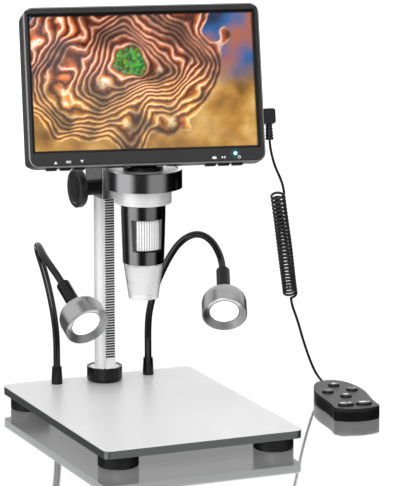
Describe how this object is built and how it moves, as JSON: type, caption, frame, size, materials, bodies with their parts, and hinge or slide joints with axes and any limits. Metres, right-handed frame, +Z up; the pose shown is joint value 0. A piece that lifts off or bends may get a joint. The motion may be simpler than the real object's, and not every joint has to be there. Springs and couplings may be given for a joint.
{
  "type": "lcd digital microscope",
  "caption": "Microscope camera with a tilting flat screen on a rack-and-pinion column stand, with a stage plate, gooseneck lamps and a wired remote.",
  "frame": {"origin": "middle of the floor area covered by everything but the remote's lead, on the table", "axes": "+Z up, +X to the user's right, -Y towards the user"},
  "size_m": [0.2508, 0.2055, 0.2922],
  "materials": {
    "base_plate": "fine satin",
    "feet": "matte, fine ribs",
    "foot_screws": "plated",
    "column": "polished",
    "rack": "milled teeth",
    "column_flange": "turned",
    "column_collar": "glossy",
    "column_bolt": "plated",
    "lamp_sockets": "glossy black",
    "remote_bottom": "satin",
    "remote_top": "fine grain",
    "remote_board": "circuit board",
    "lead_lower": "smooth jacket",
    "carriage_block": "polished",
    "shaft_bearings": "glossy black",
    "friction_screw": "oiled",
    "ring_holder": "dark semi-gloss",
    "arm_screws": "plated",
    "lead_coil": "coiled jacket",
    "pinion_shaft": "ground",
    "focus_knobs": "satin",
    "head_collar": "bright turned",
    "barrel": "glossy",
    "led_board": "white board with LEDs",
    "light_guard": "clear plastic",
    "sensor_board": "circuit board",
    "neck": "satin black",
    "lead_upper": "smooth jacket",
    "focus_ring": "ribbed",
    "lens_cell": "black anodised",
    "lens_glass": "coated",
    "screen_bezel": "fine matte",
    "rear_cover": "fine matte",
    "lcd_panel": "lit picture",
    "screen_glass": "anti-glare",
    "main_board": "circuit board",
    "hinge_pin": "ground",
    "case_screws": "blackened",
    "power_light": "lit",
    "remote_plug": "moulded rubber",
    "gooseneck_left": "ribbed black sleeve",
    "lamp_collar_left": "glossy black",
    "lamp_housing_left": "brushed",
    "lamp_lens_left": "frosted, lit",
    "gooseneck_right": "ribbed black sleeve",
    "lamp_collar_right": "glossy black",
    "lamp_housing_right": "brushed",
    "lamp_lens_right": "frosted, lit",
    "up_key": "satin",
    "menu_key": "satin",
    "down_key": "satin",
    "photo_key": "satin",
    "mode_key": "satin",
    "power_key": "satin",
    "remote_up": "silicone rubber",
    "remote_left": "silicone rubber",
    "remote_right": "silicone rubber",
    "remote_down": "silicone rubber",
    "remote_camera": "silicone rubber",
    "remote_record": "silicone rubber"
  },
  "bodies": {
    "stand": {"base_plate": "base_plate", "feet": "feet", "foot_screws": "foot_screws", "column": "column", "rack": "rack", "column_flange": "column_flange", "column_collar": "column_collar", "column_bolt": "column_bolt", "lamp_sockets": "lamp_sockets", "remote_bottom": "remote_bottom", "remote_top": "remote_top", "remote_board": "remote_board", "lead_lower": "lead_lower"},
    "carriage": {"carriage_block": "carriage_block", "shaft_bearings": "shaft_bearings", "friction_screw": "friction_screw", "ring_holder": "ring_holder", "arm_screws": "arm_screws", "lead_coil": "lead_coil"},
    "pinion": {"pinion_shaft": "pinion_shaft", "focus_knobs": "focus_knobs"},
    "head": {"head_collar": "head_collar", "barrel": "barrel", "led_board": "led_board", "light_guard": "light_guard", "sensor_board": "sensor_board", "neck": "neck", "lead_upper": "lead_upper"},
    "roller": {"focus_ring": "focus_ring"},
    "lens": {"lens_cell": "lens_cell", "lens_glass": "lens_glass"},
    "screen": {"screen_bezel": "screen_bezel", "rear_cover": "rear_cover", "lcd_panel": "lcd_panel", "screen_glass": "screen_glass", "main_board": "main_board", "hinge_pin": "hinge_pin", "case_screws": "case_screws", "power_light": "power_light", "remote_plug": "remote_plug"},
    "left_arm": {"gooseneck_left": "gooseneck_left"},
    "left_lamp": {"lamp_collar_left": "lamp_collar_left", "lamp_housing_left": "lamp_housing_left", "lamp_lens_left": "lamp_lens_left"},
    "right_arm": {"gooseneck_right": "gooseneck_right"},
    "right_lamp": {"lamp_collar_right": "lamp_collar_right", "lamp_housing_right": "lamp_housing_right", "lamp_lens_right": "lamp_lens_right"},
    "up_key_button": {"up_key": "up_key"},
    "menu_key_button": {"menu_key": "menu_key"},
    "down_key_button": {"down_key": "down_key"},
    "photo_key_button": {"photo_key": "photo_key"},
    "mode_key_button": {"mode_key": "mode_key"},
    "power_key_button": {"power_key": "power_key"},
    "remote_up_button": {"remote_up": "remote_up"},
    "remote_left_button": {"remote_left": "remote_left"},
    "remote_right_button": {"remote_right": "remote_right"},
    "remote_down_button": {"remote_down": "remote_down"},
    "remote_camera_button": {"remote_camera": "remote_camera"},
    "remote_record_button": {"remote_record": "remote_record"}
  },
  "joints": [
    {"name": "column_slide", "type": "slide", "parent": "stand", "child": "carriage", "axis": [0, 0, 1], "range_m": [-0.06, 0.04], "deforming": ["lead_lower"]},
    {"name": "pinion_turn", "type": "hinge", "parent": "carriage", "child": "pinion", "pos_m": [-0.04147, 0.06255, 0.15905], "axis": [1, 0, 0], "range_deg": [-480, 718]},
    {"name": "head_swivel", "type": "hinge", "parent": "carriage", "child": "head", "pos_m": [-0.04147, 0.00524, 0.174], "axis": [0, 0, 1], "range_deg": [-16.3, 43.7], "deforming": ["lead_coil"]},
    {"name": "screen_tilt", "type": "hinge", "parent": "head", "child": "screen", "pos_m": [-0.04147, 0.00524, 0.1879], "axis": [0.9715, -0.2368, 0], "range_deg": [-8.3, 11.7], "deforming": ["lead_upper"]},
    {"name": "focus_turn", "type": "hinge", "parent": "head", "child": "roller", "pos_m": [-0.04147, 0.00524, 0.136], "axis": [0, 0, 1], "range_deg": [-150, 150]},
    {"name": "lens_travel", "type": "slide", "parent": "head", "child": "lens", "axis": [0, 0, 1], "range_m": [-0.00042, 0.00042]},
    {"name": "left_lamp_swing", "type": "hinge", "parent": "stand", "child": "left_arm", "pos_m": [-0.07647, 0.08274, 0.0275], "axis": [0, 0, 1], "range_deg": [-40, 4]},
    {"name": "left_lamp_nod", "type": "hinge", "parent": "left_arm", "child": "left_lamp", "pos_m": [-0.08807, 0.08825, 0.115], "axis": [0.9954, 0.0955, 0], "range_deg": [-10, 20], "deforming": ["gooseneck_left"]},
    {"name": "right_lamp_swing", "type": "hinge", "parent": "stand", "child": "right_arm", "pos_m": [-0.00647, 0.08274, 0.0275], "axis": [0, 0, 1], "range_deg": [-20, 40]},
    {"name": "right_lamp_nod", "type": "hinge", "parent": "right_arm", "child": "right_lamp", "pos_m": [0.02853, 0.07724, 0.1158], "axis": [0.9286, -0.3712, 0], "range_deg": [-10, 20], "deforming": ["gooseneck_right"]},
    {"name": "up_key_press", "type": "slide", "parent": "screen", "child": "up_key_button", "axis": [0.0681, 0.2792, 0.9578], "range_m": [0, 0.0008], "stiffness_N_per_m": 1200, "springref_m": -0.0003},
    {"name": "menu_key_press", "type": "slide", "parent": "screen", "child": "menu_key_button", "axis": [0.0681, 0.2792, 0.9578], "range_m": [0, 0.0008], "stiffness_N_per_m": 1200, "springref_m": -0.0003},
    {"name": "down_key_press", "type": "slide", "parent": "screen", "child": "down_key_button", "axis": [0.0681, 0.2792, 0.9578], "range_m": [0, 0.0008], "stiffness_N_per_m": 1200, "springref_m": -0.0003},
    {"name": "photo_key_press", "type": "slide", "parent": "screen", "child": "photo_key_button", "axis": [0.0681, 0.2792, 0.9578], "range_m": [0, 0.0008], "stiffness_N_per_m": 1200, "springref_m": -0.0003},
    {"name": "mode_key_press", "type": "slide", "parent": "screen", "child": "mode_key_button", "axis": [0.0681, 0.2792, 0.9578], "range_m": [0, 0.0008], "stiffness_N_per_m": 1200, "springref_m": -0.0003},
    {"name": "power_key_press", "type": "slide", "parent": "screen", "child": "power_key_button", "axis": [0.0681, 0.2792, 0.9578], "range_m": [0, 0.0008], "stiffness_N_per_m": 1200, "springref_m": -0.0003},
    {"name": "remote_up_press", "type": "slide", "parent": "stand", "child": "remote_up_button", "axis": [0, 0, 1], "range_m": [-0.0008, 0], "stiffness_N_per_m": 1200, "springref_m": 0.0003},
    {"name": "remote_left_press", "type": "slide", "parent": "stand", "child": "remote_left_button", "axis": [0, 0, 1], "range_m": [-0.0008, 0], "stiffness_N_per_m": 1200, "springref_m": 0.0003},
    {"name": "remote_right_press", "type": "slide", "parent": "stand", "child": "remote_right_button", "axis": [0, 0, 1], "range_m": [-0.0008, 0], "stiffness_N_per_m": 1200, "springref_m": 0.0003},
    {"name": "remote_down_press", "type": "slide", "parent": "stand", "child": "remote_down_button", "axis": [0, 0, 1], "range_m": [-0.0008, 0], "stiffness_N_per_m": 1200, "springref_m": 0.0003},
    {"name": "remote_camera_press", "type": "slide", "parent": "stand", "child": "remote_camera_button", "axis": [0, 0, 1], "range_m": [-0.0008, 0], "stiffness_N_per_m": 1200, "springref_m": 0.0003},
    {"name": "remote_record_press", "type": "slide", "parent": "stand", "child": "remote_record_button", "axis": [0, 0, 1], "range_m": [-0.0008, 0], "stiffness_N_per_m": 1200, "springref_m": 0.0003}
  ],
  "couplings": [
    {"joint": "pinion_turn", "follows": "column_slide", "rad_per_m": -208.33},
    {"joint": "lens_travel", "follows": "focus_turn", "m_per_rad": 0.00015915}
  ]
}
